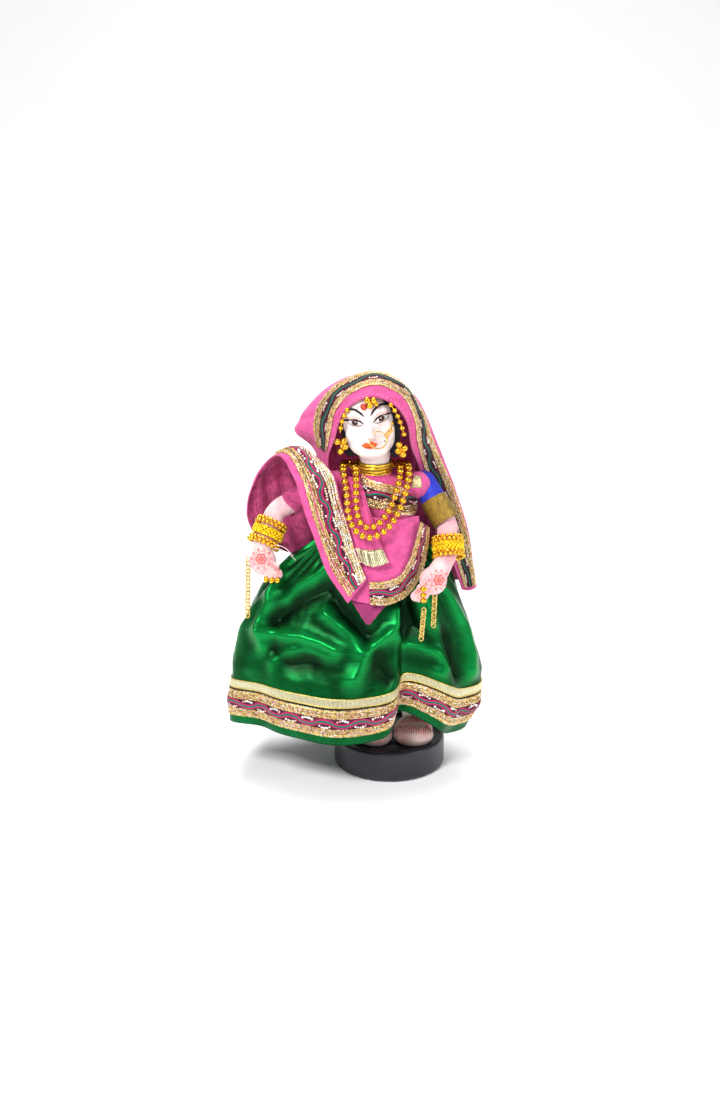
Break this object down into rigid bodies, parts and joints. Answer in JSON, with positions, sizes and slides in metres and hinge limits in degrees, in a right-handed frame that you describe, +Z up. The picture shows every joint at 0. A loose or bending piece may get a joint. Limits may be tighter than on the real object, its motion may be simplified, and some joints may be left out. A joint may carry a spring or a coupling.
{
  "type": "rajasthani cloth doll",
  "caption": "Standing cloth doll in a full satin skirt and lace-edged veil, with bead jewellery and bendable arms, on a round base.",
  "frame": {"origin": "centre of the round base's flat underside", "axes": "+Z up through the doll; the doll faces -Y and its own left arm is on +X"},
  "size_m": [0.1429, 0.0978, 0.2257],
  "materials": {
    "base_black": "turned wood under worn satin black paint, chipped white at the foot",
    "armature_wire": "soft grey binding wire",
    "stuffing_cotton": "white cotton cloth packed with wadding",
    "skin_cloth": "pale pink cotton, hand-printed with dark red henna",
    "face_cloth": "fine cotton sized with pale paint and hand-painted features",
    "hair_black": "dull black yarn",
    "pink_cloth": "matt pink cotton",
    "green_satin": "bright green satin with a soft sheen",
    "blue_satin": "deep blue satin",
    "gold_brocade": "gold brocade ribbon",
    "gota_ribbon": "pleated gold metallic ribbon",
    "lace_border": "sequinned gold braid either side of a wavy maroon ribbon",
    "gilt_bead": "gilt moulded beads",
    "gilt_chain": "thin stamped gilt links"
  },
  "bodies": {
    "doll": {"base": "base_black", "left_leg_wire": "armature_wire", "right_leg_wire": "armature_wire", "spine_wire": "armature_wire", "shoulder_wire": "armature_wire", "left_foot": "skin_cloth", "right_foot": "skin_cloth", "left_leg": "stuffing_cotton", "right_leg": "stuffing_cotton", "torso": "stuffing_cotton", "choli": "pink_cloth", "chest_lace": "lace_border", "head": "face_cloth", "hair": "hair_black", "choker": "gilt_bead", "forehead_beads": "gilt_bead", "nose_ring": "gilt_chain", "left_hair_beads": "gilt_bead", "right_hair_beads": "gilt_bead", "skirt": "green_satin", "skirt_gota": "gota_ribbon", "skirt_lace": "lace_border", "veil": "pink_cloth", "veil_lace": "lace_border", "cape": "pink_cloth", "cape_lace": "lace_border", "front_drape": "pink_cloth", "front_lace": "lace_border", "pleats": "pink_cloth", "pleat_gota": "gota_ribbon", "lower_drape": "pink_cloth"},
    "left_upper_arm": {"left_upper_arm": "skin_cloth", "left_arm_wire": "armature_wire", "left_sleeve": "blue_satin", "left_cuff": "gold_brocade"},
    "left_forearm": {"left_forearm": "skin_cloth", "left_forearm_wire": "armature_wire", "left_hand": "skin_cloth", "left_finger_beads": "gilt_bead"},
    "right_upper_arm": {"right_upper_arm": "skin_cloth", "right_arm_wire": "armature_wire", "right_sleeve": "blue_satin"},
    "right_forearm": {"right_forearm": "skin_cloth", "right_forearm_wire": "armature_wire", "right_hand": "skin_cloth", "right_finger_beads": "gilt_bead"},
    "left_upper_bangle": {"left_upper_bangle": "gilt_bead"},
    "left_band_bangle": {"left_band_bangle": "gilt_bead"},
    "left_lower_bangle": {"left_lower_bangle": "gilt_bead"},
    "right_upper_bangle": {"right_upper_bangle": "gilt_bead"},
    "right_band_bangle": {"right_band_bangle": "gilt_bead"},
    "right_lower_bangle": {"right_lower_bangle": "gilt_bead"},
    "left_front_chain": {"left_front_chain": "gilt_chain"},
    "left_rear_chain": {"left_rear_chain": "gilt_chain"},
    "right_chain": {"right_chain": "gilt_chain"},
    "left_earring": {"left_earring": "gilt_bead"},
    "right_earring": {"right_earring": "gilt_bead"},
    "inner_necklace": {"inner_necklace": "gilt_bead"},
    "outer_necklace": {"outer_necklace": "gilt_bead"}
  },
  "joints": [
    {"name": "left_shoulder_bend", "type": "hinge", "parent": "doll", "child": "left_upper_arm", "pos_m": [0.018, 0.002, 0.163], "axis": [-1, 0, 0], "range_deg": [0, 40]},
    {"name": "left_elbow_bend", "type": "hinge", "parent": "left_upper_arm", "child": "left_forearm", "pos_m": [0.03, -0.0082, 0.1442], "axis": [-1, 0, 0], "range_deg": [0, 35]},
    {"name": "right_shoulder_bend", "type": "hinge", "parent": "doll", "child": "right_upper_arm", "pos_m": [-0.034, 0.002, 0.163], "axis": [-1, 0, 0], "range_deg": [-4, 12]},
    {"name": "right_elbow_bend", "type": "hinge", "parent": "right_upper_arm", "child": "right_forearm", "pos_m": [-0.061, -0.009, 0.1505], "axis": [-1, 0, 0], "range_deg": [-4, 30]},
    {"name": "left_upper_bangle_spin", "type": "hinge", "parent": "left_forearm", "child": "left_upper_bangle", "pos_m": [0.03056, -0.01341, 0.13569], "axis": [0.056, -0.5211, -0.8517], "continuous": true},
    {"name": "left_band_bangle_spin", "type": "hinge", "parent": "left_forearm", "child": "left_band_bangle", "pos_m": [0.0308, -0.01564, 0.13204], "axis": [0.056, -0.5211, -0.8517], "continuous": true},
    {"name": "left_lower_bangle_spin", "type": "hinge", "parent": "left_forearm", "child": "left_lower_bangle", "pos_m": [0.03102, -0.01769, 0.1287], "axis": [0.056, -0.5211, -0.8517], "continuous": true},
    {"name": "right_upper_bangle_spin", "type": "hinge", "parent": "right_forearm", "child": "right_upper_bangle", "pos_m": [-0.06388, -0.01224, 0.14438], "axis": [-0.384, -0.432, -0.816], "continuous": true},
    {"name": "right_band_bangle_spin", "type": "hinge", "parent": "right_forearm", "child": "right_band_bangle", "pos_m": [-0.06596, -0.01458, 0.13996], "axis": [-0.384, -0.432, -0.816], "continuous": true},
    {"name": "right_lower_bangle_spin", "type": "hinge", "parent": "right_forearm", "child": "right_lower_bangle", "pos_m": [-0.06804, -0.01692, 0.13554], "axis": [-0.384, -0.432, -0.816], "continuous": true},
    {"name": "left_front_chain_swing", "type": "hinge", "parent": "left_forearm", "child": "left_front_chain", "pos_m": [0.0176, -0.033, 0.1016], "axis": [-1, 0, 0], "range_deg": [-5, 30]},
    {"name": "left_rear_chain_swing", "type": "hinge", "parent": "left_forearm", "child": "left_rear_chain", "pos_m": [0.0234, -0.03, 0.1076], "axis": [-1, 0, 0], "range_deg": [-5, 30]},
    {"name": "right_chain_swing", "type": "hinge", "parent": "right_forearm", "child": "right_chain", "pos_m": [-0.0768, -0.0195, 0.124], "axis": [-1, 0, 0], "range_deg": [-8, 30]},
    {"name": "left_earring_swing", "type": "hinge", "parent": "doll", "child": "left_earring", "pos_m": [0.0056, -0.0132, 0.1894], "axis": [-1, 0, 0], "range_deg": [0, 25]},
    {"name": "right_earring_swing", "type": "hinge", "parent": "doll", "child": "right_earring", "pos_m": [-0.0248, -0.0132, 0.1922], "axis": [-1, 0, 0], "range_deg": [0, 25]},
    {"name": "inner_necklace_lift", "type": "hinge", "parent": "doll", "child": "inner_necklace", "pos_m": [-0.0085, 0.011, 0.171], "axis": [-1, 0, 0], "range_deg": [0, 8]},
    {"name": "outer_necklace_lift", "type": "hinge", "parent": "doll", "child": "outer_necklace", "pos_m": [-0.0085, 0.0152, 0.1712], "axis": [-1, 0, 0], "range_deg": [0, 8]}
  ]
}
